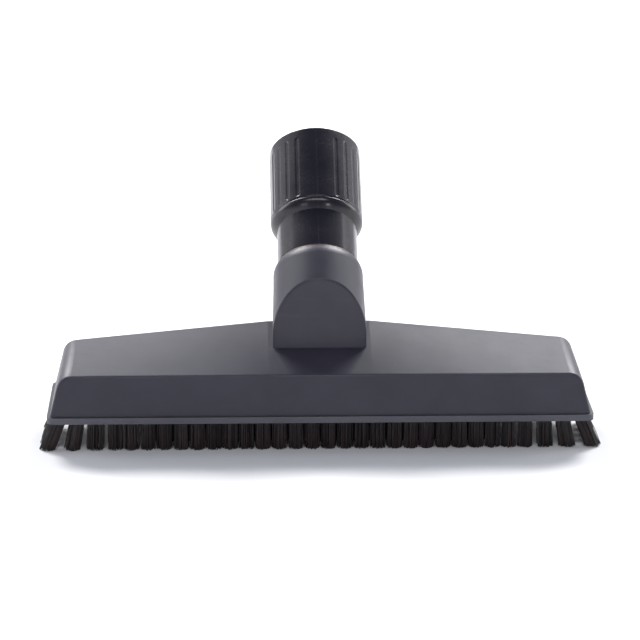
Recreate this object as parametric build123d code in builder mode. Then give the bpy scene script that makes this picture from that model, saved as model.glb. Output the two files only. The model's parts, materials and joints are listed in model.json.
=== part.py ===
"""Brush head of a wet and dry vacuum, for scrubbing and drying a hard floor.

A moulded hood with a leaning neck stands on a frame that carries a front row of bristles, a row
along each end, a rubber lip and a rubber squeegee blade. A hose tube turns in the neck's collar.

Millimetres. +X is to the right seen from the front, +Y is to the back, where the neck leans, and
+Z is up. The origin is on the floor, under the middle of the whole head's length and depth.
"""

from build123d import *
from math import cos, radians, sin, sqrt, tan
import os

os.makedirs("parts", exist_ok=True)

# ---- Driving dimensions ----------------------------------------------------------------------

# Frame
head_width = 254.0          # frame, end to end (10 in)
head_depth = 54.0           # frame, front to back
frame_thickness = 3.0
frame_corner = 3.0
trim_height = 15.0          # floor to the underside of the frame
lip = 1.4                   # the frame stands this much proud of the hood, all round
gasket_thickness = 0.4
gasket_recess = 0.15        # gasket edge, in from the hood's outer face

# Hood
hood_wall = 2.0
front_height = 18.5         # hood's front face
front_draft = 3.0           # the front face leans back by this much over its height
rear_draft = 4.5            # and the rear face forwards
ridge_end_height = 22.6     # rear top edge above the rim, at the ends
ridge_mid_height = 32.2     # and beside the neck
end_draft_angle = 14.0
end_round = 7.0             # from the top into the ends
front_round = 1.5           # round the front face
ridge_round = 2.0           # round the rear face
inner_round_loss = 0.25     # the rounds inside are smaller by this share of the wall
crown = 0.8                 # of the roof, from the front to the back
rib_thickness = 1.6
rib_bottom = 12.5           # underside of the roof ribs, above the rim
rib_spacing = 30.0
boss_radius = 3.6
boss_spacing_x = 200.0
boss_spacing_y = 17.0
boss_centre_y = 26.0        # from the frame's front edge

# Neck, about an axis that leans back from the vertical
neck_lean = 51.5
arch_depth = 24.0           # flat front of the neck, from the frame's front edge
axis_height = 31.5          # axis above the rim, where it passes the flat front
collar_mouth = 38.7         # along the axis, from the flat front to the collar's mouth
collar_wall = 2.2           # round the bush, at the mouth
collar_taper = 0.8          # more radius at the flat front than at the mouth
collar_shoulder = 5.2       # length of the rounded mouth
collar_lip_wall = 0.3       # thickness of the mouth's edge
arch_margin = 1.0           # from the top of the flat front to the round collar
side_depth = 0.8            # neck's straight sides below its axis, as a share of its radius
arch_round = 1.2            # round the edge of the flat front
foot_margin = 2.1           # level roof past the neck's foot

# Swivel tube
tube_radius = 19.1          # 38 mm hose size
tube_length = 21.2          # between the collar and the cuff's shoulder
tube_wall = 2.5
shoulder_length = 4.8
cuff_wall = 2.95            # round the socket
cuff_length = 41.6
cuff_edge_round = 0.5
socket_clearance = 0.05     # radial, round a hose end as wide as the tube
socket_depth = 36.0
socket_lead_in = 0.8
journal_step = 1.15         # radial, from the tube down to the journal
journal_wall = 2.35
running_clearance = 0.05    # radial, journal in bush

# Grip grooves on both sides of the cuff, with a plain strip at the front and back
plain_strip_angle = 25.0    # first groove, each side of the front and of the back
groove_count = 10
groove_width = 1.3
groove_depth = 0.55
groove_start = 1.6          # above the cuff's lower edge
groove_end = 4.5            # below its rim

# Neck bearing
bush_wall = 1.0
bush_length = 15.6
washer_thickness = 0.7
washer_clearance = 0.1      # radial, round the journal and inside the tube's outside
washer_play = 0.05          # from the washer to the tube's shoulder
ring_thickness = 1.2
ring_end_play = 0.3
ring_bore_gap = 0.25        # radial, from the ring to the collar's bore
ring_groove_depth = 0.95
ring_gap = 8.0
ring_clearance = 0.05
seal_section = 1.3          # diameter
seal_depth = 3.2            # below the washer
seal_clearance = 0.02
journal_tail = 1.4          # past the retaining ring
journal_end_gap = 0.6       # from the journal's end to the end of the collar's bore
seal_groove_share = 1.4     # seal groove's width over the seal's

# Bristles
tuft_pitch = 7.66
end_pitch_share = 1.1       # least pitch of the end tufts over the even pitch
end_tufts_in_row = 3        # wider-spaced tufts at each end of the front row
tuft_row_depth = 8.0        # row's centre, from the frame's front edge
tuft_end_inset = 5.5        # end row's centre, from the frame's end
side_tufts = 4
side_tuft_pitch = 7.8
tuft_top_radius = 1.5
tuft_set_depth = 5.2        # above the underside of the frame
tip_width = 7.2
tip_depth = 5.8
end_splay = 6.0             # outward lean of the end tufts, over the trim height
staple_height = 1.2
staple_width = 2.4
staple_thickness = 0.4
tuft_clearance = 0.1

# Brush bars
bar_height = 5.0            # above the frame
bar_width = 7.2
tongue_width = 5.8
tongue_recess = 0.2
bar_clearance = 0.2
bar_wall_gap = 0.25

# Rubber lip and blade, each an L bent over the frame
front_lip_width = 168.0
front_lip_depth = 13.6      # its front face, from the frame's front edge
front_lip_thickness = 2.0
front_lip_gap = 1.5         # above the floor
rear_blade_width = 224.0
rear_blade_inset = 7.0      # its front face, from the frame's rear edge
rear_blade_thickness = 2.5
rear_blade_rake = 2.2       # its edge is this far behind its root
blade_rib_count = 4
blade_rib_height = 0.6
flap_width = 7.4            # of the part clamped on the frame
flap_thickness = 2.0
clamp_thickness = 1.8
slot_clearance = 0.3
clamp_screw_radius = 1.2
clamp_screw_head_radius = 2.4
clamp_screw_head_height = 1.5
front_clamp_screws = 5
rear_clamp_screws = 7
clamp_screw_inset = 10.0
screw_clearance = 0.2

# Suction slot in the frame
suction_width = 160.0
suction_margin = 1.0        # between the slot and the clamped flaps
suction_bridge = 3.0
suction_windows = 3

# Frame screws
frame_screw_radius = 1.5
frame_screw_length = 13.0
frame_screw_head_radius = 3.0
frame_screw_head_height = 1.7
boss_floor = 1.5            # boss hole past the screw's end

# ---- Levels and places that follow -----------------------------------------------------------

lean_sin = sin(radians(neck_lean))
lean_cos = cos(radians(neck_lean))
journal_radius = tube_radius - journal_step
journal_bore = journal_radius - journal_wall
bush_bore = journal_radius + running_clearance
collar_bore = bush_bore + bush_wall
collar_radius = collar_bore + collar_wall
collar_base_radius = collar_radius + collar_taper
ring_radius = collar_bore - ring_bore_gap
tube_bore = tube_radius - tube_wall
socket_bore = tube_radius + socket_clearance
cuff_radius = socket_bore + cuff_wall
shoulder_start = collar_mouth + tube_length
cuff_start = shoulder_start + shoulder_length
neck_reach = cuff_start + cuff_length
overall_depth = arch_depth + neck_reach * lean_sin + cuff_radius * lean_cos
front_y = -overall_depth / 2

frame_top = trim_height + frame_thickness
rim = frame_top + gasket_thickness
half_width = head_width / 2
rear_blade_depth = head_depth - rear_blade_inset
even_reach = (half_width - tuft_end_inset) / tuft_pitch - end_tufts_in_row * end_pitch_share
even_tufts = 2 * int(even_reach + 0.5)
arch_y = front_y + arch_depth
axis_start = Vector(0, arch_y, rim + axis_height)
axis_direction = Vector(0, lean_sin, lean_cos)
neck_axis = Axis(axis_start, axis_direction)
half_plane = Plane(origin=axis_start, x_dir=(1, 0, 0), z_dir=(0, -lean_cos, lean_sin))

block_length = collar_base_radius * lean_cos / lean_sin + arch_margin
journal_top = collar_mouth + washer_thickness + washer_play
bush_top = collar_mouth
bush_bottom = bush_top - bush_length
ring_top = bush_bottom - ring_end_play
ring_bottom = ring_top - ring_thickness
journal_bottom = ring_bottom - journal_tail
collar_bore_bottom = journal_bottom - journal_end_gap
level_half_width = collar_base_radius + foot_margin
far = head_width            # longer than anything it has to cut


def neck_plane(distance):
    """Plane across the neck's axis, a distance along it from the flat front."""
    return Plane(origin=axis_start + axis_direction * distance, x_dir=(1, 0, 0), z_dir=axis_direction)


def cone_radius(distance):
    """Outer radius of the tapered collar."""
    return collar_base_radius + (collar_radius - collar_base_radius) * distance / collar_mouth


# ---- Hood ------------------------------------------------------------------------------------


def above_rim(edge):
    """True for an edge that isn't on the open bottom."""
    return edge.center().Z > rim + 1


def front_to_back(edge):
    """True for an edge that runs from the front to the back."""
    return abs(edge.tangent_at(0.5).Y) > 0.7


def hood_body(inset):
    """The hood without its neck, with every face but the open bottom moved in by inset."""
    end_lean = tan(radians(end_draft_angle))
    end_x = half_width - lip - inset
    ridge_end_x = end_x - ridge_end_height * end_lean
    ridge_fall = (ridge_mid_height - ridge_end_height) / (ridge_end_x - level_half_width)
    low_front = front_y + lip + inset
    low_rear = front_y + head_depth - lip - inset
    with BuildPart() as body:
        for x in (-half_width, -level_half_width, level_half_width, half_width):
            ridge = ridge_mid_height - ridge_fall * (abs(x) - level_half_width) - inset
            with BuildSketch(Plane.YZ.offset(x)):
                front_top = (low_front + front_draft, rim + front_height - inset)
                rear_top = (low_rear - rear_draft, rim + ridge)
                middle = ((front_top[0] + rear_top[0]) / 2, (front_top[1] + rear_top[1]) / 2 + crown)
                with BuildLine():
                    Polyline(rear_top, (low_rear, rim), (low_front, rim), front_top)
                    ThreePointArc(front_top, middle, rear_top)
                make_face()
        loft(ruled=True)
        apex = 2 * ridge_mid_height
        with BuildSketch(Plane.XZ):
            with BuildLine():
                Polyline(
                    (-end_x, rim),
                    (end_x, rim),
                    (end_x - apex * end_lean, rim + apex),
                    (-end_x + apex * end_lean, rim + apex),
                    close=True,
                )
            make_face()
        extrude(amount=far, both=True, mode=Mode.INTERSECT)
        ends = body.faces().sort_by(Axis.X)
        end_edges = (ends[0].edges() + ends[-1].edges()).filter_by(above_rim)
        fillet(end_edges.filter_by(front_to_back), radius=end_round - inset)
        front_face = body.faces().sort_by(Axis.Y)[0]
        fillet(front_face.edges().filter_by(above_rim), radius=front_round - inner_round_loss * inset)
        rear_face = body.faces().sort_by(Axis.Y)[-1]
        fillet(rear_face.edges().filter_by(above_rim), radius=ridge_round - inner_round_loss * inset)
    return body.part


def neck_block(inset):
    """The neck below the collar: round on top, straight-sided below, and cut flat in front.

    Its flat front is the arch. Every face is moved in by inset.
    """
    with BuildPart() as block:
        for distance in (-block_length, block_length - inset):
            radius = cone_radius(distance) - inset
            with BuildSketch(neck_plane(distance)):
                low_corner = side_depth * radius
                keel = sqrt(radius**2 - low_corner**2)
                with BuildLine():
                    ThreePointArc((-radius, 0), (0, -radius), (radius, 0))
                    Polyline((radius, 0), (radius, low_corner), (keel, low_corner))
                    ThreePointArc((keel, low_corner), (0, radius), (-keel, low_corner))
                    Polyline((-keel, low_corner), (-radius, low_corner), (-radius, 0))
                make_face()
        loft(ruled=True)
        split(bisect_by=Plane.XZ.offset(-arch_y - inset), keep=Keep.BOTTOM)
    return block.part


with BuildPart() as neck:
    add(neck_block(0))
    arch = neck.faces().filter_by(Axis.Y)[0]
    fillet(arch.edges().sort_by(Axis.Z)[-1], radius=arch_round)

with BuildPart() as collar:
    base_point = (cone_radius(block_length), block_length)
    shoulder_foot = collar_mouth - collar_shoulder
    shoulder_point = (cone_radius(shoulder_foot), shoulder_foot)
    taper = (shoulder_point[0] - base_point[0], shoulder_point[1] - base_point[1])
    mouth_point = (collar_bore + collar_lip_wall, collar_mouth)
    with BuildSketch(half_plane):
        with BuildLine():
            Polyline((0, collar_mouth), (0, block_length), base_point, shoulder_point)
            TangentArc(shoulder_point, mouth_point, tangent=taper)
            Line(mouth_point, (0, collar_mouth))
        make_face()
    revolve(axis=neck_axis)

with BuildPart() as neck_cavity:
    with BuildSketch(neck_plane(0)):
        Circle(collar_bore)
    extrude(amount=collar_bore_bottom)
    split(bisect_by=Plane.XZ.offset(-arch_y - hood_wall), keep=Keep.BOTTOM)
    add(neck_block(hood_wall))

boss_places = GridLocations(boss_spacing_x, boss_spacing_y, 2, 2).locations
boss_hole_depth = frame_screw_length - frame_thickness - gasket_thickness + boss_floor

with BuildPart() as cavity:
    add(hood_body(hood_wall))
    add(neck_cavity.part)
    with BuildSketch(Plane.XY.offset(rim)):
        with Locations((0, front_y + boss_centre_y)):
            with Locations(boss_places):
                Circle(boss_radius)
    extrude(amount=far, mode=Mode.SUBTRACT)
    with BuildSketch(Plane.XY.offset(rim + rib_bottom)):
        with Locations((0, front_y + head_depth / 2)):
            for side in (-1, 1):
                for step in (1, 2):
                    with Locations((side * (collar_base_radius + step * rib_spacing), 0)):
                        Rectangle(rib_thickness, head_depth)
    extrude(amount=far, mode=Mode.SUBTRACT)

with BuildPart() as hood:
    add(hood_body(0))
    add(neck.part)
    add(collar.part)
    add(cavity.part, mode=Mode.SUBTRACT)
    with BuildSketch(neck_plane(collar_bore_bottom)):
        Circle(collar_bore)
    extrude(amount=collar_mouth, mode=Mode.SUBTRACT)
    with BuildSketch(Plane.XY.offset(rim)):
        with Locations((0, front_y + boss_centre_y)):
            with Locations(boss_places):
                Circle(frame_screw_radius)
    extrude(amount=boss_hole_depth, mode=Mode.SUBTRACT)
hood.part.label = "hood"
export_step(hood.part, "parts/hood.step")

# ---- Neck bearing and swivel tube, all turned about the neck's axis ---------------------------


def ring_on_neck(inner, outer, bottom, top):
    """A plain ring about the neck's axis."""
    with BuildPart() as ring:
        with BuildSketch(neck_plane(bottom)):
            Circle(outer)
            Circle(inner, mode=Mode.SUBTRACT)
        extrude(amount=top - bottom)
    return ring.part


seal_level = bush_top - seal_depth
seal_centre_radius = bush_bore - seal_clearance - seal_section / 2
seal_groove_depth = journal_radius - seal_centre_radius + seal_section / 2
ring_groove_radius = journal_radius - ring_groove_depth
socket_floor = neck_reach - socket_depth
groove_low = cuff_start + groove_start
groove_high = neck_reach - groove_end
grooved_angle = 180 - 2 * plain_strip_angle

with BuildPart() as swivel_tube:
    with BuildSketch(half_plane):
        with BuildLine():
            Polyline(
                (journal_bore, journal_bottom),
                (journal_radius, journal_bottom),
                (journal_radius, journal_top),
                (tube_radius, journal_top),
                (tube_radius, shoulder_start),
            )
            TangentArc((cuff_radius, cuff_start), (tube_radius, shoulder_start), tangent=(0, -1))
            Polyline(
                (cuff_radius, cuff_start),
                (cuff_radius, neck_reach),
                (socket_bore + socket_lead_in, neck_reach),
                (socket_bore, neck_reach - socket_lead_in),
                (socket_bore, socket_floor),
                (tube_bore, socket_floor),
                (tube_bore, shoulder_start),
                (journal_bore, journal_top),
                (journal_bore, journal_bottom),
            )
        make_face()
    revolve(axis=neck_axis)
    rim_edges = swivel_tube.edges().filter_by(GeomType.CIRCLE).group_by(neck_axis)[-1]
    fillet(rim_edges.sort_by(SortBy.RADIUS)[-1], radius=cuff_edge_round)
    with BuildSketch(half_plane):
        with Locations((journal_radius, seal_level)):
            Rectangle(2 * seal_groove_depth, seal_groove_share * seal_section)
        with Locations((journal_radius, (ring_top + ring_bottom) / 2)):
            Rectangle(2 * ring_groove_depth, ring_thickness + 2 * ring_clearance)
    revolve(axis=neck_axis, mode=Mode.SUBTRACT)
    with BuildSketch(neck_plane(groove_low)):
        for start in (plain_strip_angle - 90, plain_strip_angle + 90):
            with PolarLocations(cuff_radius, groove_count, start, grooved_angle, endpoint=True):
                Rectangle(2 * groove_depth, groove_width)
    extrude(amount=groove_high - groove_low, mode=Mode.SUBTRACT)
swivel_tube.part.label = "swivel_tube"
export_step(swivel_tube.part, "parts/swivel_tube.step")

neck_bush = ring_on_neck(bush_bore, collar_bore, bush_bottom, bush_top)
neck_bush.label = "neck_bush"
export_step(neck_bush, "parts/neck_bush.step")

washer_bore = journal_radius + washer_clearance
washer_radius = tube_radius - washer_clearance
thrust_washer = ring_on_neck(washer_bore, washer_radius, bush_top, bush_top + washer_thickness)
thrust_washer.label = "thrust_washer"
export_step(thrust_washer, "parts/thrust_washer.step")

with BuildPart() as neck_seal:
    with BuildSketch(half_plane):
        with Locations((seal_centre_radius, seal_level)):
            Circle(seal_section / 2)
    revolve(axis=neck_axis)
neck_seal.part.label = "neck_seal"
export_step(neck_seal.part, "parts/neck_seal.step")

with BuildPart() as retaining_ring:
    add(ring_on_neck(ring_groove_radius + ring_clearance, ring_radius, ring_bottom, ring_top))
    with BuildSketch(neck_plane(ring_bottom)):
        with Locations((0, ring_radius)):
            Rectangle(ring_gap, ring_radius)
    extrude(amount=ring_thickness, mode=Mode.SUBTRACT)
retaining_ring.part.label = "retaining_ring"
export_step(retaining_ring.part, "parts/retaining_ring.step")

# ---- Bristles and the bars they are set in ----------------------------------------------------

tuft_top = trim_height + tuft_set_depth
row_y = front_y + tuft_row_depth
even_half = (even_tufts - 1) / 2 * tuft_pitch
side_x = half_width - tuft_end_inset
end_pitch = (side_x - even_half) / end_tufts_in_row
splay_ratio = tuft_set_depth / trim_height


def tuft(x, y, splay, gap=0.0):
    """One tuft: round in its hole, spread at the floor, where it leans outwards by splay.

    It crosses the frame's underside at x and y. With a gap it is the hole that takes the tuft.
    """
    with BuildPart() as bundle:
        with BuildSketch(Plane.XY.offset(tuft_top)):
            with Locations((x - splay * splay_ratio, y)):
                Circle(tuft_top_radius + gap)
        with BuildSketch(Plane.XY):
            with Locations((x + splay, y)):
                Ellipse(tip_width / 2 + gap, tip_depth / 2 + gap)
        loft(ruled=True)
    return bundle.part


def staple(x, y, splay):
    """Flat wire anchor across the top of a tuft."""
    with BuildPart() as anchor:
        with BuildSketch(Plane.XY.offset(tuft_top)):
            with Locations((x - splay * splay_ratio, y)):
                Rectangle(staple_width, staple_thickness)
        extrude(amount=staple_height)
    return anchor.part


front_places = []
for index in range(even_tufts):
    front_places.append((index * tuft_pitch - even_half, row_y, 0.0))
for step in range(1, end_tufts_in_row + 1):
    splay = end_splay * (step / end_tufts_in_row) ** 2
    front_places.append((even_half + step * end_pitch, row_y, splay))
    front_places.append((-even_half - step * end_pitch, row_y, -splay))
left_places = []
right_places = []
for index in range(1, side_tufts + 1):
    left_places.append((-side_x, row_y + index * side_tuft_pitch, -end_splay))
    right_places.append((side_x, row_y + index * side_tuft_pitch, end_splay))

rows = {"front": front_places, "left_end": left_places, "right_end": right_places}
for row_name, places in rows.items():
    with BuildPart() as bristles:
        for x, y, splay in places:
            add(tuft(x, y, splay))
    bristles.part.label = row_name + "_bristles"
    export_step(bristles.part, "parts/" + row_name + "_bristles.step")

with BuildPart() as tuft_staples:
    for x, y, splay in front_places + left_places + right_places:
        add(staple(x, y, splay))
tuft_staples.part.label = "tuft_staples"
export_step(tuft_staples.part, "parts/tuft_staples.step")

# Each bar has a tongue down through the frame and a wider head on top of it.
bar_top = frame_top + bar_height
tongue_bottom = trim_height + tongue_recess
end_lean = tan(radians(end_draft_angle))
bar_end_x = half_width - lip - hood_wall - (bar_top - rim) * end_lean - bar_wall_gap
side_head_x = bar_end_x - bar_width / 2
side_tongue_x = side_x - end_splay * frame_thickness / 2 / trim_height
side_bar_start = row_y + bar_width / 2 + bar_clearance
side_bar_end = row_y + side_tufts * side_tuft_pitch + tongue_width / 2
side_bar_middle = (side_bar_start + side_bar_end) / 2
side_bar_length = side_bar_end - side_bar_start
front_tongue_half = side_tongue_x + tongue_width / 2


def brush_bar(head_x, head_size, tongue_x, tongue_size, middle_y, places):
    """A bar with a blind hole for each tuft and its staple."""
    with BuildPart() as bar:
        with BuildSketch(Plane.XY.offset(frame_top)):
            with Locations((head_x, middle_y)):
                Rectangle(*head_size)
        extrude(amount=bar_height)
        with BuildSketch(Plane.XY.offset(tongue_bottom)):
            with Locations((tongue_x, middle_y)):
                Rectangle(*tongue_size)
        extrude(amount=frame_top - tongue_bottom)
        for x, y, splay in places:
            add(tuft(x, y, splay, tuft_clearance), mode=Mode.SUBTRACT)
        with BuildSketch(Plane.XY.offset(tuft_top)):
            for x, y, splay in places:
                with Locations((x - splay * splay_ratio, y)):
                    Circle(tuft_top_radius)
        extrude(amount=staple_height, mode=Mode.SUBTRACT)
    return bar.part


front_head = (2 * bar_end_x, bar_width)
front_tongue = (2 * front_tongue_half, tongue_width)
side_head = (bar_width, side_bar_length)
side_tongue = (tongue_width, side_bar_length)
front_brush_bar = brush_bar(0, front_head, 0, front_tongue, row_y, front_places)
left_brush_bar = brush_bar(
    -side_head_x, side_head, -side_tongue_x, side_tongue, side_bar_middle, left_places
)
right_brush_bar = brush_bar(
    side_head_x, side_head, side_tongue_x, side_tongue, side_bar_middle, right_places
)
bars = {"front": front_brush_bar, "left": left_brush_bar, "right": right_brush_bar}
for side_name, bar in bars.items():
    bar.label = side_name + "_brush_bar"
    export_step(bar, "parts/" + side_name + "_brush_bar.step")

# ---- Rubber lip and squeegee blade ------------------------------------------------------------

flap_top = frame_top + flap_thickness
clamp_top = flap_top + clamp_thickness
front_lip_y = front_y + front_lip_depth
rear_blade_y = front_y + rear_blade_depth
front_flap_y = front_lip_y + flap_width / 2
rear_flap_y = rear_blade_y + rear_blade_thickness - flap_width / 2
front_screw_y = front_lip_y + front_lip_thickness + (flap_width - front_lip_thickness) / 2
rear_screw_y = rear_blade_y - (flap_width - rear_blade_thickness) / 2
front_screw_pitch = (front_lip_width - 2 * clamp_screw_inset) / (front_clamp_screws - 1)
rear_screw_pitch = (rear_blade_width - 2 * clamp_screw_inset) / (rear_clamp_screws - 1)


def screw_row(y, pitch, count):
    """Places of a row of clamp screws."""
    return [location.position + Vector(0, y, 0) for location in GridLocations(pitch, 1, count, 1)]


front_screw_places = screw_row(front_screw_y, front_screw_pitch, front_clamp_screws)
rear_screw_places = screw_row(rear_screw_y, rear_screw_pitch, rear_clamp_screws)


def screw_holes(places, radius, bottom, top):
    """Round columns through a strip, one for each screw."""
    with BuildPart() as holes:
        with BuildSketch(Plane.XY.offset(bottom)):
            with Locations(places):
                Circle(radius)
        extrude(amount=top - bottom)
    return holes.part


with BuildPart() as front_lip:
    with BuildSketch(Plane.YZ.offset(-front_lip_width / 2)):
        with BuildLine():
            Polyline(
                (front_lip_y, front_lip_gap),
                (front_lip_y + front_lip_thickness, front_lip_gap),
                (front_lip_y + front_lip_thickness, frame_top),
                (front_lip_y + flap_width, frame_top),
                (front_lip_y + flap_width, flap_top),
                (front_lip_y, flap_top),
                close=True,
            )
        make_face()
    extrude(amount=front_lip_width)
    flap_hole_radius = clamp_screw_radius + screw_clearance
    add(screw_holes(front_screw_places, flap_hole_radius, frame_top, flap_top), mode=Mode.SUBTRACT)
front_lip.part.label = "front_lip"
export_step(front_lip.part, "parts/front_lip.step")

with BuildPart() as rear_blade:
    blade_back = rear_blade_y + rear_blade_thickness
    with BuildSketch(Plane.YZ.offset(-rear_blade_width / 2)):
        with BuildLine():
            Polyline(
                (rear_blade_y + rear_blade_rake, 0),
                (blade_back + rear_blade_rake, 0),
                (blade_back, trim_height),
                (blade_back, flap_top),
                (blade_back - flap_width, flap_top),
                (blade_back - flap_width, frame_top),
                (rear_blade_y, frame_top),
                (rear_blade_y, trim_height),
                close=True,
            )
        make_face()
        rib_pitch = trim_height / (blade_rib_count + 1)
        for index in range(blade_rib_count):
            rib_level = (index + 1) * rib_pitch
            rib_y = rear_blade_y + rear_blade_rake * (1 - rib_level / trim_height)
            with Locations((rib_y, rib_level)):
                Circle(blade_rib_height)
    extrude(amount=rear_blade_width)
    add(screw_holes(rear_screw_places, flap_hole_radius, frame_top, flap_top), mode=Mode.SUBTRACT)
rear_blade.part.label = "rear_blade"
export_step(rear_blade.part, "parts/rear_blade.step")


def clamp_strip(length, middle_y, places):
    """Flat strip that presses a rubber flap on the frame."""
    with BuildPart() as strip:
        with BuildSketch(Plane.XY.offset(flap_top)):
            with Locations((0, middle_y)):
                Rectangle(length, flap_width)
        extrude(amount=clamp_thickness)
        add(screw_holes(places, flap_hole_radius, flap_top, clamp_top), mode=Mode.SUBTRACT)
    return strip.part


front_lip_clamp = clamp_strip(front_lip_width, front_flap_y, front_screw_places)
front_lip_clamp.label = "front_lip_clamp"
export_step(front_lip_clamp, "parts/front_lip_clamp.step")
rear_blade_clamp = clamp_strip(rear_blade_width, rear_flap_y, rear_screw_places)
rear_blade_clamp.label = "rear_blade_clamp"
export_step(rear_blade_clamp, "parts/rear_blade_clamp.step")

with BuildPart() as clamp_screws:
    with BuildSketch(Plane.XY.offset(trim_height + tongue_recess)):
        with Locations(front_screw_places + rear_screw_places):
            Circle(clamp_screw_radius)
    extrude(amount=clamp_top - trim_height - tongue_recess)
    with BuildSketch(Plane.XY.offset(clamp_top)):
        with Locations(front_screw_places + rear_screw_places):
            Circle(clamp_screw_head_radius)
    extrude(amount=clamp_screw_head_height)
    head_tops = clamp_screws.faces().filter_by(Axis.Z).group_by(Axis.Z)[-1]
    fillet(head_tops.edges(), radius=clamp_screw_head_height / 3)
clamp_screws.part.label = "clamp_screws"
export_step(clamp_screws.part, "parts/clamp_screws.step")

# ---- Frame, gasket and frame screws -----------------------------------------------------------

frame_middle = (0, front_y + head_depth / 2)
suction_front = front_lip_y + flap_width + suction_margin
suction_rear = rear_blade_y + rear_blade_thickness - flap_width - suction_margin
window_width = (suction_width - (suction_windows - 1) * suction_bridge) / suction_windows

with BuildPart() as base_frame:
    with BuildSketch(Plane.XY.offset(trim_height)):
        with Locations(frame_middle):
            RectangleRounded(head_width, head_depth, frame_corner)
        with Locations((0, row_y)):
            Rectangle(front_tongue[0] + bar_clearance, front_tongue[1] + bar_clearance, mode=Mode.SUBTRACT)
        with Locations((-side_tongue_x, side_bar_middle), (side_tongue_x, side_bar_middle)):
            Rectangle(side_tongue[0] + bar_clearance, side_tongue[1] + bar_clearance, mode=Mode.SUBTRACT)
        with Locations((0, front_lip_y + front_lip_thickness / 2)):
            Rectangle(
                front_lip_width + slot_clearance,
                front_lip_thickness + slot_clearance,
                mode=Mode.SUBTRACT,
            )
        with Locations((0, rear_blade_y + rear_blade_thickness / 2)):
            Rectangle(
                rear_blade_width + slot_clearance,
                rear_blade_thickness + slot_clearance,
                mode=Mode.SUBTRACT,
            )
        with Locations((0, (suction_front + suction_rear) / 2)):
            with GridLocations(window_width + suction_bridge, 1, suction_windows, 1):
                Rectangle(window_width, suction_rear - suction_front, mode=Mode.SUBTRACT)
    extrude(amount=frame_thickness)
    all_clamp_screws = front_screw_places + rear_screw_places
    add(screw_holes(all_clamp_screws, clamp_screw_radius, trim_height, frame_top), mode=Mode.SUBTRACT)
    for level, radius, depth in (
        (trim_height, frame_screw_head_radius + screw_clearance, frame_screw_head_height),
        (trim_height, frame_screw_radius + screw_clearance, frame_thickness),
    ):
        with BuildSketch(Plane.XY.offset(level)):
            with Locations((0, front_y + boss_centre_y)):
                with Locations(boss_places):
                    Circle(radius)
        extrude(amount=depth, mode=Mode.SUBTRACT)
base_frame.part.label = "base_frame"
export_step(base_frame.part, "parts/base_frame.step")

with BuildPart() as frame_gasket:
    gasket_inset = lip + gasket_recess
    with BuildSketch(Plane.XY.offset(frame_top)):
        with Locations(frame_middle):
            RectangleRounded(head_width - 2 * gasket_inset, head_depth - 2 * gasket_inset, front_round)
            seal_width = hood_wall - 2 * gasket_recess
            Rectangle(
                head_width - 2 * gasket_inset - 2 * seal_width,
                head_depth - 2 * gasket_inset - 2 * seal_width,
                mode=Mode.SUBTRACT,
            )
        with Locations((0, front_y + boss_centre_y)):
            with Locations(boss_places):
                Circle(boss_radius)
                Circle(frame_screw_radius + screw_clearance, mode=Mode.SUBTRACT)
    extrude(amount=gasket_thickness)
frame_gasket.part.label = "frame_gasket"
export_step(frame_gasket.part, "parts/frame_gasket.step")

with BuildPart() as frame_screws:
    with BuildSketch(Plane.XY.offset(trim_height)):
        with Locations((0, front_y + boss_centre_y)):
            with Locations(boss_places):
                Circle(frame_screw_head_radius)
    extrude(amount=frame_screw_head_height)
    with BuildSketch(Plane.XY.offset(trim_height + frame_screw_head_height)):
        with Locations((0, front_y + boss_centre_y)):
            with Locations(boss_places):
                Circle(frame_screw_radius)
    extrude(amount=frame_screw_length - frame_screw_head_height)
    head_faces = frame_screws.faces().filter_by(Axis.Z).group_by(Axis.Z)[0]
    fillet(head_faces.edges(), radius=frame_screw_head_height / 4)
frame_screws.part.label = "frame_screws"
export_step(frame_screws.part, "parts/frame_screws.step")
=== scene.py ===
"""Looks of the floor scrubber head: camera, light, materials, and detailed pieces around the CAD frame.

Metres, in the frame's own axes: +X to the right seen from the front, +Y to the back, +Z up.
"""

from math import cos, exp, pi, radians, sin
import json
import random

import bpy
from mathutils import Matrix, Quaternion, Vector


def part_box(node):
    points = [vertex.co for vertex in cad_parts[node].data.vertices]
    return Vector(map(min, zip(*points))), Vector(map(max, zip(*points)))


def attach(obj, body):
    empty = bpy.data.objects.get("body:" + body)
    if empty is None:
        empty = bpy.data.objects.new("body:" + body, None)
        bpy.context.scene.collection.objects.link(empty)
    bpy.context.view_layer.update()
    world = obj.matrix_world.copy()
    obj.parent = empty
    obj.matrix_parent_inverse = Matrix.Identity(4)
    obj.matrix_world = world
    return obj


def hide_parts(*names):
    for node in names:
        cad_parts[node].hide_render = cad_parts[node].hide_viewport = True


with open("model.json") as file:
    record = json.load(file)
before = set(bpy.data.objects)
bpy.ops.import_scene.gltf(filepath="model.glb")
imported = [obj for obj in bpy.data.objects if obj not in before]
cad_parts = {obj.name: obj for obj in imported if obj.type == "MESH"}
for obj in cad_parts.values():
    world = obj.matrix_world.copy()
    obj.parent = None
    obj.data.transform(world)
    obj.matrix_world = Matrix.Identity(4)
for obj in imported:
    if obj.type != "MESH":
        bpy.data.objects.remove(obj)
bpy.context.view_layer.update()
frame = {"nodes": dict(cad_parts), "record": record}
nodes = frame["nodes"]

MM = 0.001

# ---- Places taken from the frame --------------------------------------------------------------

swivel_joint = frame["record"]["behaviour"]["joints"][0]
axis_start = Vector(swivel_joint["pos_m"])
along = Vector(swivel_joint["axis"]).normalized()
across = Vector((1, 0, 0))
facing = across.cross(along)            # square to the neck, on its front and upper side
front_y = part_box("base_frame")[0].y
frame_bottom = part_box("base_frame")[0].z


# ---- Camera, light and floor --------------------------------------------------------------------

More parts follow.
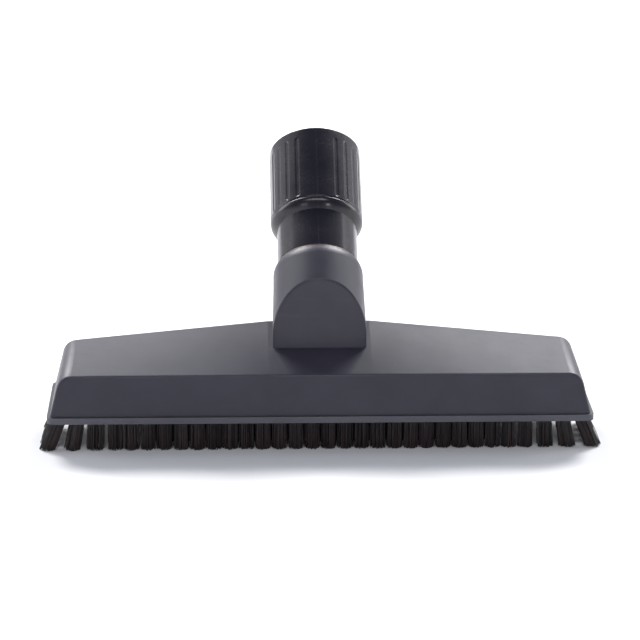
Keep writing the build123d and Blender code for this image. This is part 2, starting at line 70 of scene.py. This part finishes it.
camera_azimuth = radians(-1.9)
camera_elevation = radians(17.2)
camera_roll = radians(0.2)
camera_distance = 1.35
camera_target = Vector((0.0013, 0, 0.0462))
sensor_width = 36
focal_length = 158.0
light_aim = (0, 0, 0.05)
floor_half_width = 8.0


def make_camera():
    """A long lens in front of the head, a little above it and to its left."""
    level = cos(camera_elevation)
    away = Vector((
        sin(camera_azimuth) * level, -cos(camera_azimuth) * level, sin(camera_elevation)
    ))
    data = bpy.data.cameras.new("camera")
    data.sensor_width = sensor_width
    data.lens = focal_length
    camera = bpy.data.objects.new("camera", data)
    camera.location = camera_target + away * camera_distance
    camera.rotation_mode = "QUATERNION"
    turn = (-away).to_track_quat("-Z", "Y")
    camera.rotation_quaternion = turn @ Quaternion((0, 0, 1), camera_roll)
    bpy.context.collection.objects.link(camera)
    bpy.context.scene.camera = camera


def area_light(name, place, aim, width, height, power):
    """A soft rectangular light at place that points at aim."""
    data = bpy.data.lights.new(name, "AREA")
    data.shape = "RECTANGLE"
    data.size = width
    data.size_y = height
    data.energy = power
    light = bpy.data.objects.new(name, data)
    light.location = place
    light.rotation_mode = "QUATERNION"
    light.rotation_quaternion = (Vector(aim) - Vector(place)).to_track_quat("-Z", "Y")
    bpy.context.collection.objects.link(light)


def make_lights():
    """Two soft lights above and behind, two at the sides, one high in front, two small ones in
    front, and a room that is white low at the back and sides, and dim overhead and in front."""
    area_light("back_left_light", (-0.75, 1.1, 1.25), light_aim, 0.7, 0.7, 30)
    area_light("back_right_light", (0.75, 1.1, 1.25), light_aim, 0.7, 0.7, 30)
    area_light("front_top_light", (0, -1.5, 1.5), (0, -0.3, 0), 1.6, 0.5, 13)
    area_light("left_light", (-1.6, 0.2, 0.5), light_aim, 0.8, 0.9, 9)
    area_light("right_light", (1.6, 0.3, 0.5), light_aim, 0.8, 0.9, 9)
    area_light("front_left_light", (-0.75, -1.5, 0.30), light_aim, 0.12, 0.16, 0.9)
    area_light("front_right_light", (0.65, -1.5, 0.25), light_aim, 0.12, 0.12, 0.9)
    world = bpy.data.worlds.new("room")
    bpy.context.scene.world = world
    world.use_nodes = True
    tree = world.node_tree
    background = tree.nodes["Background"]
    place = tree.nodes.new("ShaderNodeTexCoord")
    parts = tree.nodes.new("ShaderNodeSeparateXYZ")
    link(tree, place.outputs["Generated"], parts.inputs["Vector"])
    front_to_back = spread(tree, parts.outputs["Y"], 0.0, 1.0, -0.6, 0.3)
    overhead = spread(tree, parts.outputs["Z"], 1.0, 0.0, 0.3, 0.8)
    brightness = tree.nodes.new("ShaderNodeMath")
    brightness.operation = "MULTIPLY"
    link(tree, front_to_back, brightness.inputs[0])
    link(tree, overhead, brightness.inputs[1])
    sky = ramp(tree, brightness.outputs[0], (0.05, 0.07, 0.13), (0.97, 0.96, 1.0), 0.0, 1.0)
    link(tree, sky, background.inputs["Color"])
    background.inputs["Strength"].default_value = 1.0


def make_floor():
    """A plain pale floor."""
    half = floor_half_width
    corners = [(-half, -half, 0), (half, -half, 0), (half, half, 0), (-half, half, 0)]
    mesh = bpy.data.meshes.new("floor")
    mesh.from_pydata(corners, [], [(0, 1, 2, 3)])
    floor = bpy.data.objects.new("floor", mesh)
    bpy.context.collection.objects.link(floor)
    material, tree, shader = new_material("floor_paint")
    clouds = noise(tree, 1.5, 2)
    link(tree, ramp(tree, clouds, (0.86, 0.86, 0.87), (0.9, 0.9, 0.9)), shader.inputs["Base Color"])
    shader.inputs["Roughness"].default_value = 0.9
    mesh.materials.append(material)


# ---- Material building blocks -------------------------------------------------------------------


def new_material(name):
    """A material with its node tree and its shader."""
    material = bpy.data.materials.new(name)
    material.use_nodes = True
    tree = material.node_tree
    return material, tree, tree.nodes["Principled BSDF"]


def link(tree, output, socket):
    """Joins two sockets."""
    tree.links.new(output, socket)


def noise(tree, scale, detail=2.0, stretch=(1, 1, 1), roughness=0.5):
    """Noise in the piece's own coordinates; scale is in waves per metre."""
    place = tree.nodes.new("ShaderNodeTexCoord")
    mapping = tree.nodes.new("ShaderNodeMapping")
    mapping.inputs["Scale"].default_value = stretch
    texture = tree.nodes.new("ShaderNodeTexNoise")
    texture.inputs["Scale"].default_value = scale
    texture.inputs["Detail"].default_value = detail
    texture.inputs["Roughness"].default_value = roughness
    link(tree, place.outputs["Object"], mapping.inputs["Vector"])
    link(tree, mapping.outputs["Vector"], texture.inputs["Vector"])
    return texture.outputs["Fac"]


def ramp(tree, value, low, high, start=0.35, end=0.65):
    """Colour between low and high as value goes from start to end."""
    node = tree.nodes.new("ShaderNodeValToRGB")
    node.color_ramp.elements[0].position = start
    node.color_ramp.elements[0].color = (*low, 1)
    node.color_ramp.elements[1].position = end
    node.color_ramp.elements[1].color = (*high, 1)
    link(tree, value, node.inputs["Fac"])
    return node.outputs["Color"]


def spread(tree, value, low, high, start=0.3, end=0.7):
    """Number between low and high as value goes from start to end."""
    node = tree.nodes.new("ShaderNodeMapRange")
    node.inputs["From Min"].default_value = start
    node.inputs["From Max"].default_value = end
    node.inputs["To Min"].default_value = low
    node.inputs["To Max"].default_value = high
    link(tree, value, node.inputs["Value"])
    return node.outputs["Result"]


def mixed(tree, share, first, second):
    """Mix of two colours."""
    node = tree.nodes.new("ShaderNodeMix")
    node.data_type = "RGBA"
    link(tree, share, node.inputs[0])
    link(tree, first, node.inputs[6])
    link(tree, second, node.inputs[7])
    return node.outputs[2]


def summed(tree, first, second, share):
    """first plus a share of second."""
    node = tree.nodes.new("ShaderNodeMath")
    node.operation = "MULTIPLY_ADD"
    link(tree, second, node.inputs[0])
    node.inputs[1].default_value = share
    link(tree, first, node.inputs[2])
    return node.outputs[0]


def bump(tree, height, depth, shader):
    """Surface relief, depth in metres."""
    node = tree.nodes.new("ShaderNodeBump")
    node.inputs["Strength"].default_value = 1.0
    node.inputs["Distance"].default_value = depth
    link(tree, height, node.inputs["Height"])
    link(tree, node.outputs["Normal"], shader.inputs["Normal"])


# ---- Materials ----------------------------------------------------------------------------------


def moulded_plastic(name, dark, light, smooth, rough, grain_depth):
    """Moulded plastic: cloudy colour, fine spark grain, faint scratches and handling marks."""
    material, tree, shader = new_material(name)
    clouds = noise(tree, 38, 3)
    grain = noise(tree, 2600, 2)
    scratches = noise(tree, 260, 3, stretch=(0.12, 1.4, 1.4), roughness=0.65)
    handling = noise(tree, 70, 4, roughness=0.6)
    dusty = tuple(0.5 * part + 0.045 for part in light)
    cloudy = ramp(tree, clouds, dark, light)
    marks = spread(tree, scratches, 0.0, 0.22, 0.62, 0.78)
    dust = ramp(tree, handling, dusty, dusty)
    link(tree, mixed(tree, marks, cloudy, dust), shader.inputs["Base Color"])
    sheen = summed(tree, spread(tree, handling, smooth, rough), spread(tree, grain, -0.5, 0.5), 0.06)
    link(tree, sheen, shader.inputs["Roughness"])
    relief = summed(tree, grain, scratches, 0.35)
    bump(tree, relief, grain_depth, shader)
    return material


def rubber(name, dark, light, smooth, rough):
    """Soft black rubber: fine pores and a dusty bloom."""
    material, tree, shader = new_material(name)
    bloom = noise(tree, 90, 4, roughness=0.6)
    pores = noise(tree, 3200, 2)
    link(tree, ramp(tree, bloom, dark, light), shader.inputs["Base Color"])
    link(tree, spread(tree, bloom, smooth, rough), shader.inputs["Roughness"])
    bump(tree, pores, 0.00002, shader)
    return material


def nylon(name, dark, light):
    """Bristle filament: each has its own tone, with streaks along it."""
    material, tree, shader = new_material(name)
    tone = tree.nodes.new("ShaderNodeAttribute")
    tone.attribute_name = "tone"
    streaks = noise(tree, 1800, 2, stretch=(1, 1, 0.08))
    value = summed(tree, tone.outputs["Fac"], streaks, 0.5)
    link(tree, ramp(tree, value, dark, light, 0.25, 1.1), shader.inputs["Base Color"])
    link(tree, spread(tree, streaks, 0.3, 0.48), shader.inputs["Roughness"])
    return material


def acetal(name, dark, light):
    """Smooth bearing plastic with faint flow lines."""
    material, tree, shader = new_material(name)
    flow = noise(tree, 160, 3, stretch=(1, 0.4, 1))
    link(tree, ramp(tree, flow, dark, light), shader.inputs["Base Color"])
    link(tree, spread(tree, flow, 0.28, 0.4), shader.inputs["Roughness"])
    bump(tree, noise(tree, 2000, 2), 0.000006, shader)
    return material


def zinc_steel(name):
    """Zinc-plated steel with fine turning marks and dull patches."""
    material, tree, shader = new_material(name)
    patches = noise(tree, 420, 3)
    marks = noise(tree, 5200, 2, stretch=(1, 1, 0.1))
    link(tree, ramp(tree, patches, (0.42, 0.42, 0.44), (0.66, 0.66, 0.65)), shader.inputs["Base Color"])
    link(tree, spread(tree, patches, 0.22, 0.42), shader.inputs["Roughness"])
    shader.inputs["Metallic"].default_value = 1.0
    bump(tree, marks, 0.000008, shader)
    return material


# ---- Mesh building blocks -----------------------------------------------------------------------


def new_piece(name, points, faces, material, body, sharp_angle=35):
    """A smooth-shaded piece whose edges stay sharp where they turn by more than an angle."""
    mesh = bpy.data.meshes.new(name)
    mesh.from_pydata([tuple(point) for point in points], [], faces)
    mesh.materials.append(material)
    mesh.shade_smooth()
    mesh.set_sharp_from_angle(angle=radians(sharp_angle))
    piece = bpy.data.objects.new(name, mesh)
    bpy.context.collection.objects.link(piece)
    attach(piece, body)
    return piece


def on_neck(distance, radius, angle):
    """Point about the neck's axis; angle 0 is its front and upper side, and it grows towards +X."""
    outward = facing * cos(angle) + across * sin(angle)
    return axis_start + along * distance + outward * radius


def closed_grid(columns, rows):
    """Quads of a grid that closes on itself both ways."""
    faces = []
    for i in range(columns):
        for j in range(rows):
            next_i = (i + 1) % columns
            next_j = (j + 1) % rows
            faces.append((i * rows + j, next_i * rows + j, next_i * rows + next_j, i * rows + next_j))
    return faces


def smooth_step(value):
    """0 below 0, 1 above 1, and smooth between."""
    value = min(max(value, 0.0), 1.0)
    return value * value * (3 - 2 * value)


def bell(value, width):
    """1 at 0, falling smoothly to about 0 at width."""
    return exp(-4.5 * (value / width) ** 2)


# ---- Swivel tube --------------------------------------------------------------------------------

journal_bottom = 20.2 * MM
journal_top = 39.45 * MM
journal_radius = 17.95 * MM
journal_bore = 15.6 * MM
ring_groove = (21.55 * MM, 22.85 * MM, 17.0 * MM)       # from, to, radius
seal_groove = (34.59 * MM, 36.41 * MM, 16.68 * MM)
tube_radius = 19.1 * MM
tube_bore = 16.6 * MM
shoulder_start = 59.9 * MM
cuff_start = 64.7 * MM
cuff_radius = 22.1 * MM
cuff_end = 106.3 * MM
socket_bore = 19.15 * MM
socket_floor = 70.3 * MM
lead_in = 0.8 * MM
rim_round = 0.5 * MM

plain_strip_angle = radians(25)
flutes = 10                             # on each side
flute_angle = (pi - 2 * plain_strip_angle) / (flutes - 1)
flute_half_width = 1.3 * MM
flute_depth = 0.2 * MM
flute_low = cuff_start + 1.6 * MM
flute_high = cuff_end - 4.5 * MM
seam_width = 0.35 * MM
seam_height = 0.09 * MM
edge_groove_depth = 0.3 * MM            # round the cuff's lower edge
edge_groove_width = 0.75 * MM


def flute(distance, angle):
    """Depth of the grip flutes at a place on the cuff, as a share of the whole depth."""
    side = abs(abs(angle) - pi / 2)
    nearest = round((side - (pi / 2 - plain_strip_angle)) / flute_angle)
    middle = pi / 2 - plain_strip_angle + min(nearest, 0) * flute_angle
    off = abs(side - middle) * cuff_radius
    cross = 1 - smooth_step((off - 0.35 * flute_half_width) / (0.65 * flute_half_width))
    scallop = 1.2 * MM * (off / flute_half_width) ** 2
    low = smooth_step((distance - flute_low - scallop) / (0.5 * MM))
    high = smooth_step((flute_high - scallop - distance) / (1.2 * MM))
    return cross * low * high


def seam(angle):
    """Height of the mould seam down the front and the back."""
    off = min(abs(angle), pi - abs(angle)) * cuff_radius
    return seam_height * bell(off, seam_width)


def tube_radius_at(distance, angle):
    """Outer radius of the visible tube, its shoulder and its cuff."""
    share = (distance - shoulder_start) / (cuff_start - shoulder_start)
    radius = tube_radius + (cuff_radius - tube_radius) * sin(min(max(share, 0), 1) * pi / 2)
    radius -= flute_depth * flute(distance, angle)
    radius -= edge_groove_depth * bell(distance - cuff_start - 0.5 * MM, edge_groove_width)
    over_rim = distance - (cuff_end - rim_round)
    if over_rim > 0:
        radius -= rim_round - (rim_round**2 - over_rim**2) ** 0.5
    return radius + seam(angle)


def steps(start, end, count):
    """Evenly spaced values from start up to, but not including, end."""
    return [start + (end - start) * index / count for index in range(count)]


def swivel_tube():
    """The hose tube: journal, plain tube, rounded shoulder and fluted cuff, hollow all through."""
    turns = 540
    inner_low = [
        (journal_bottom, journal_bore), (journal_bottom, journal_radius),
        (ring_groove[0], journal_radius), (ring_groove[0], ring_groove[2]),
        (ring_groove[1], ring_groove[2]), (ring_groove[1], journal_radius),
        (seal_groove[0], journal_radius), (seal_groove[0], seal_groove[2]),
        (seal_groove[1], seal_groove[2]), (seal_groove[1], journal_radius),
        (journal_top, journal_radius),
    ]
    outer = steps(journal_top, shoulder_start, 10)
    outer += steps(shoulder_start, cuff_start, 24)
    outer += steps(cuff_start, flute_low + 2.5 * MM, 36)
    outer += steps(flute_low + 2.5 * MM, flute_high - 3 * MM, 16)
    outer += steps(flute_high - 3 * MM, flute_high, 16)
    outer += steps(flute_high, cuff_end - rim_round, 6)
    outer += [cuff_end - rim_round * (1 - sin(turn)) for turn in steps(0, pi / 2, 6)]
    inner_high = [
        (cuff_end, cuff_radius - rim_round), (cuff_end, socket_bore + lead_in),
        (cuff_end - lead_in, socket_bore), (socket_floor, socket_bore), (socket_floor, tube_bore),
        (shoulder_start, tube_bore), (journal_top, journal_bore),
    ]
    points = []
    for index in range(turns):
        angle = 2 * pi * index / turns
        signed = angle if angle <= pi else angle - 2 * pi
        for distance, radius in inner_low:
            points.append(on_neck(distance, radius, angle))
        for distance in outer:
            points.append(on_neck(distance, tube_radius_at(distance, signed), angle))
        for distance, radius in inner_high:
            points.append(on_neck(distance, radius, angle))
    rows = len(inner_low) + len(outer) + len(inner_high)
    piece = new_piece(
        "fluted_swivel_tube", points, closed_grid(turns, rows), tube_plastic, "swivel"
    )
    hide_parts("swivel_tube")


# ---- Bristles -----------------------------------------------------------------------------------

tuft_pitch = 7.66 * MM
even_tufts = 26
end_tufts = 3
row_y = front_y + 8 * MM
side_x = 121.5 * MM
side_tufts = 4
side_pitch = 7.8 * MM
end_splay = 6 * MM
tuft_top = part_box("front_bristles")[1].z
root_radius = 1.6 * MM
throat = 0.24                           # share of the filament's length where it has spread
throat_width = 0.86                     # of its spread at the floor
tip_half_width = 3.85 * MM
end_tip_half_width = 4.3 * MM           # in the wider-spaced tufts at the ends
tip_half_depth = 2.85 * MM
filaments = 110
filament_radius = 0.2 * MM
filament_sides = 5
filament_steps = 6


def spread_at(share):
    """How far a filament has moved from its root to its tip, a share of its length down."""
    if share < throat:
        return throat_width * smooth_step(share / throat)
    return throat_width + (1 - throat_width) * (share - throat) / (1 - throat)


def tuft_filaments(points, faces, tones, x, y, splay, half_width, draw):
    """Adds one tuft: filaments that leave a round hole, spread at once, and fan out to the floor."""
    ratio = tuft_top / frame_bottom - 1
    top_x = x - splay * ratio
    lean = splay * (1 + ratio)
    for _ in range(filaments):
        turn = draw.uniform(0, 2 * pi)
        reach = draw.random() ** 0.5
        wander = draw.uniform(-0.4, 0.4) * MM
        bow = draw.uniform(-0.4, 0.4) * MM
        root = Vector((root_radius * reach * cos(turn), root_radius * reach * sin(turn)))
        tip = Vector((
            (half_width - filament_radius) * reach * cos(turn) + wander * (1 - reach),
            (tip_half_depth - filament_radius) * reach * sin(turn),
        ))
        trim = (0.05 + abs(draw.gauss(0, 0.3))) * MM + 0.5 * MM * reach**6 * cos(turn) ** 2
        tone = draw.random()
        first = len(points)
        for step in range(filament_steps + 1):
            share = step / filament_steps
            middle = root.lerp(tip, spread_at(share))
            across_x = top_x + lean * share + middle.x + bow * sin(pi * share) * share
            level = tuft_top + (trim - tuft_top) * share
            for side in range(filament_sides):
                around = 2 * pi * side / filament_sides
                points.append((
                    across_x + cos(around) * filament_radius,
                    y + middle.y + sin(around) * filament_radius,
                    level,
                ))
                tones.append(tone)
        for step in range(filament_steps):
            for side in range(filament_sides):
                low = first + step * filament_sides
                beside = (side + 1) % filament_sides
                faces.append((
                    low + side, low + filament_sides + side,
                    low + filament_sides + beside, low + beside
                ))
        faces.append(tuple(first + side for side in range(filament_sides)))
        last = first + filament_steps * filament_sides
        faces.append(tuple(last + side for side in reversed(range(filament_sides))))


def bristle_row(name, places, replaced, seed):
    """One row of tufts as a single piece."""
    draw = random.Random(seed)
    points, faces, tones = [], [], []
    for x, y, splay, half_width in places:
        tuft_filaments(points, faces, tones, x, y, splay, half_width, draw)
    piece = new_piece(name, points, faces, bristle_nylon, "head", sharp_angle=80)
    layer = piece.data.attributes.new("tone", "FLOAT", "POINT")
    layer.data.foreach_set("value", tones)
    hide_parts(replaced)


def bristles():
    """The front row, with its end tufts spaced wider and leaning out, and a row along each end."""
    even_half = (even_tufts - 1) / 2 * tuft_pitch
    end_pitch = (side_x - even_half) / end_tufts
    front = [
        (index * tuft_pitch - even_half, row_y, 0.0, tip_half_width) for index in range(even_tufts)
    ]
    for step in range(1, end_tufts + 1):
        splay = end_splay * (step / end_tufts) ** 2
        front.append((even_half + step * end_pitch, row_y, splay, end_tip_half_width))
        front.append((-even_half - step * end_pitch, row_y, -splay, end_tip_half_width))
    bristle_row("front_bristle_row", front, "front_bristles", 11)
    for sign, side in ((-1, "left"), (1, "right")):
        places = [
            (sign * side_x, row_y + index * side_pitch, sign * end_splay, tip_half_width)
            for index in range(1, side_tufts + 1)
        ]
        bristle_row(side + "_end_bristle_row", places, side + "_end_bristles", 23 + sign)


# ---- Rubber lip, squeegee blade and frame screws ------------------------------------------------

frame_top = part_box("base_frame")[1].z
lip_y = front_y + 13.6 * MM
lip_thickness = 2.0 * MM
lip_gap = 1.5 * MM
lip_half_length = 84 * MM
blade_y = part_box("rear_blade")[1].y - 4.7 * MM      # its front face, at the frame
blade_thickness = 2.5 * MM
blade_rake = 2.2 * MM
blade_half_length = 112 * MM
blade_ribs = 4
rib_radius = 0.6 * MM
flap_width = 7.4 * MM
flap_top = frame_top + 2.0 * MM
edge_round = 0.35 * MM
strip_end_share = 0.93                  # of a strip's profile, at its rounded ends
lip_edge_steps = 10
rib_steps = 8


def strip(name, profile, half_length, replaced):
    """A rubber strip along X with a profile in Y and Z, and slightly rounded ends."""
    points, faces = [], []
    middle_y = sum(y for y, _ in profile) / len(profile)
    middle_z = sum(z for _, z in profile) / len(profile)
    stations = [(-half_length, strip_end_share), (-half_length + edge_round, 1.0)]
    stations += [(x * half_length, 1.0) for x in (-0.5, 0.0, 0.5)]
    stations += [(half_length - edge_round, 1.0), (half_length, strip_end_share)]
    for x, share in stations:
        for y, z in profile:
            points.append((x, middle_y + (y - middle_y) * share, middle_z + (z - middle_z) * share))
    count = len(profile)
    for station in range(len(stations) - 1):
        low, high = station * count, (station + 1) * count
        for index in range(count):
            beside = (index + 1) % count
            faces.append((low + index, low + beside, high + beside, high + index))
    faces.append(tuple(reversed(range(count))))
    faces.append(tuple(range(len(points) - count, len(points))))
    piece = new_piece(name, points, faces, black_rubber, "head")
    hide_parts(replaced)


def front_rubber_lip():
    """The lip behind the bristles, with a rounded edge and a flap on the frame."""
    back = lip_y + lip_thickness
    middle = lip_y + lip_thickness / 2
    radius = lip_thickness / 2
    tip = [
        (middle + radius * cos(turn), lip_gap + radius * (1 - sin(turn)))
        for turn in (pi * index / lip_edge_steps for index in range(lip_edge_steps + 1))
    ]
    profile = tip + [
        (lip_y, flap_top), (lip_y + flap_width, flap_top), (lip_y + flap_width, frame_top),
        (back, frame_top),
    ]
    strip("rounded_front_lip", profile, lip_half_length, "front_lip")


def ribbed_rear_blade():
    """The raked squeegee blade, with round ribs along its front face and a flap on the frame."""
    def front_at(level):
        return blade_y + blade_rake * (1 - level / frame_bottom)

    profile = [(front_at(0), 0.0)]
    rib_pitch = frame_bottom / (blade_ribs + 1)
    for index in range(blade_ribs):
        level = (index + 1) * rib_pitch
        for turn in (pi * step / rib_steps for step in range(rib_steps + 1)):
            off = -rib_radius * cos(turn)
            profile.append((front_at(level + off) - rib_radius * sin(turn), level + off))
    back = blade_y + blade_thickness
    profile += [
        (blade_y, frame_bottom), (blade_y, frame_top), (back - flap_width, frame_top),
        (back - flap_width, flap_top), (back, flap_top), (back, frame_bottom),
        (back + blade_rake, edge_round), (back + blade_rake - edge_round, 0.0),
    ]
    strip("ribbed_rear_blade", profile, blade_half_length, "rear_blade")


screw_places = [(x * 100 * MM, front_y + y * MM) for x in (-1, 1) for y in (17.5, 34.5)]
screw_head_radius = 3.0 * MM
screw_head_height = 1.7 * MM
screw_head_round = 0.42 * MM
screw_radius = 1.5 * MM
screw_length = 13 * MM
recess_half_width = 0.5 * MM
recess_reach = 1.7 * MM
recess_depth = 0.9 * MM
thread_pitch = 1.1 * MM
thread_depth = 0.22 * MM
axis_radius = 0.02 * MM                 # of the meshes' ends, about the screw's axis
screw_turns = 72
head_steps = 22
head_round_steps = 5
thread_steps = 60


def cross_recess(x, y):
    """Depth of the cross recess at a place on a screw's head."""
    arm = smooth_step((recess_half_width - min(abs(x), abs(y))) / (0.25 * MM))
    return recess_depth * arm * smooth_step((recess_reach - (x * x + y * y) ** 0.5) / (0.4 * MM))


def cross_head_screws():
    """The frame's screws, head down: a rounded head with a cross recess, and a threaded shank."""
    points, faces = [], []
    flat = screw_head_radius - screw_head_round
    head = [
        (axis_radius + (flat - axis_radius) * index / head_steps, 0.0)
        for index in range(head_steps + 1)
    ]
    head += [
        (flat + screw_head_round * sin(turn), screw_head_round * (1 - cos(turn)))
        for turn in (pi / 2 * index / head_round_steps for index in range(1, head_round_steps + 1))
    ]
    head += [(screw_head_radius, screw_head_height), (screw_radius, screw_head_height)]
    shank = steps(screw_head_height + 0.4 * MM, screw_length - 0.6 * MM, thread_steps)
    for number, (x, y) in enumerate(screw_places):
        first = len(points)
        for index in range(screw_turns):
            angle = 2 * pi * index / screw_turns
            twist = angle + number
            for radius, level in head:
                inward = cross_recess(radius * cos(twist), radius * sin(twist))
                depth = inward if radius <= flat else 0.0
                place = (x + radius * cos(angle), y + radius * sin(angle))
                points.append((*place, frame_bottom + level + depth))
            for level in shank:
                phase = (level / thread_pitch - angle / (2 * pi)) % 1
                radius = screw_radius - thread_depth * abs(2 * phase - 1)
                place = (x + radius * cos(angle), y + radius * sin(angle))
                points.append((*place, frame_bottom + level))
            place = (x + axis_radius * cos(angle), y + axis_radius * sin(angle))
            points.append((*place, frame_bottom + screw_length))
        rows = len(head) + len(shank) + 1
        faces += [tuple(first + corner for corner in face) for face in closed_grid(screw_turns, rows)]
    piece = new_piece(
        "cross_head_frame_screws", points, faces, plated_steel, "head", sharp_angle=40
    )
    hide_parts("frame_screws")


# ---- Looks of the CAD nodes that stay -----------------------------------------------------------

hood_plastic = moulded_plastic(
    "hood_plastic", (0.025, 0.0235, 0.037), (0.033, 0.0305, 0.047), 0.4, 0.5, 0.000012
)
frame_plastic = moulded_plastic(
    "frame_plastic", (0.058, 0.057, 0.074), (0.072, 0.071, 0.090), 0.38, 0.48, 0.000012
)
tube_plastic = moulded_plastic(
    "tube_plastic", (0.0135, 0.012, 0.0165), (0.018, 0.016, 0.022), 0.2, 0.28, 0.000005
)
bristle_nylon = nylon("bristle_nylon", (0.007, 0.0045, 0.006), (0.032, 0.020, 0.021))
black_rubber = rubber("rubber", (0.014, 0.014, 0.015), (0.026, 0.025, 0.026), 0.5, 0.68)
grey_rubber = rubber("grey_rubber", (0.040, 0.040, 0.046), (0.058, 0.058, 0.064), 0.45, 0.6)
bearing_plastic = acetal("bearing_plastic", (0.10, 0.055, 0.03), (0.17, 0.10, 0.055))
plated_steel = zinc_steel("steel")

finishes = {
    "hood_plastic": hood_plastic,
    "frame_plastic": frame_plastic,
    "tube_plastic": tube_plastic,
    "bristle_nylon": bristle_nylon,
    "rubber": black_rubber,
    "bearing_plastic": bearing_plastic,
    "steel": plated_steel,
}


def paint_nodes():
    """Gives each CAD node the finish of its own slot; the gasket's rubber is grey."""
    for part in frame["record"]["subparts"]:
        node = nodes[part["node"]]
        node.data.materials.clear()
        grey = part["node"] == "frame_gasket"
        node.data.materials.append(grey_rubber if grey else finishes[part["material_slot"]])


# ---- The scene ----------------------------------------------------------------------------------

bpy.context.scene.view_settings.view_transform = "Standard"
make_camera()
make_lights()
make_floor()
paint_nodes()
swivel_tube()
bristles()
front_rubber_lip()
ribbed_rear_blade()
cross_head_screws()
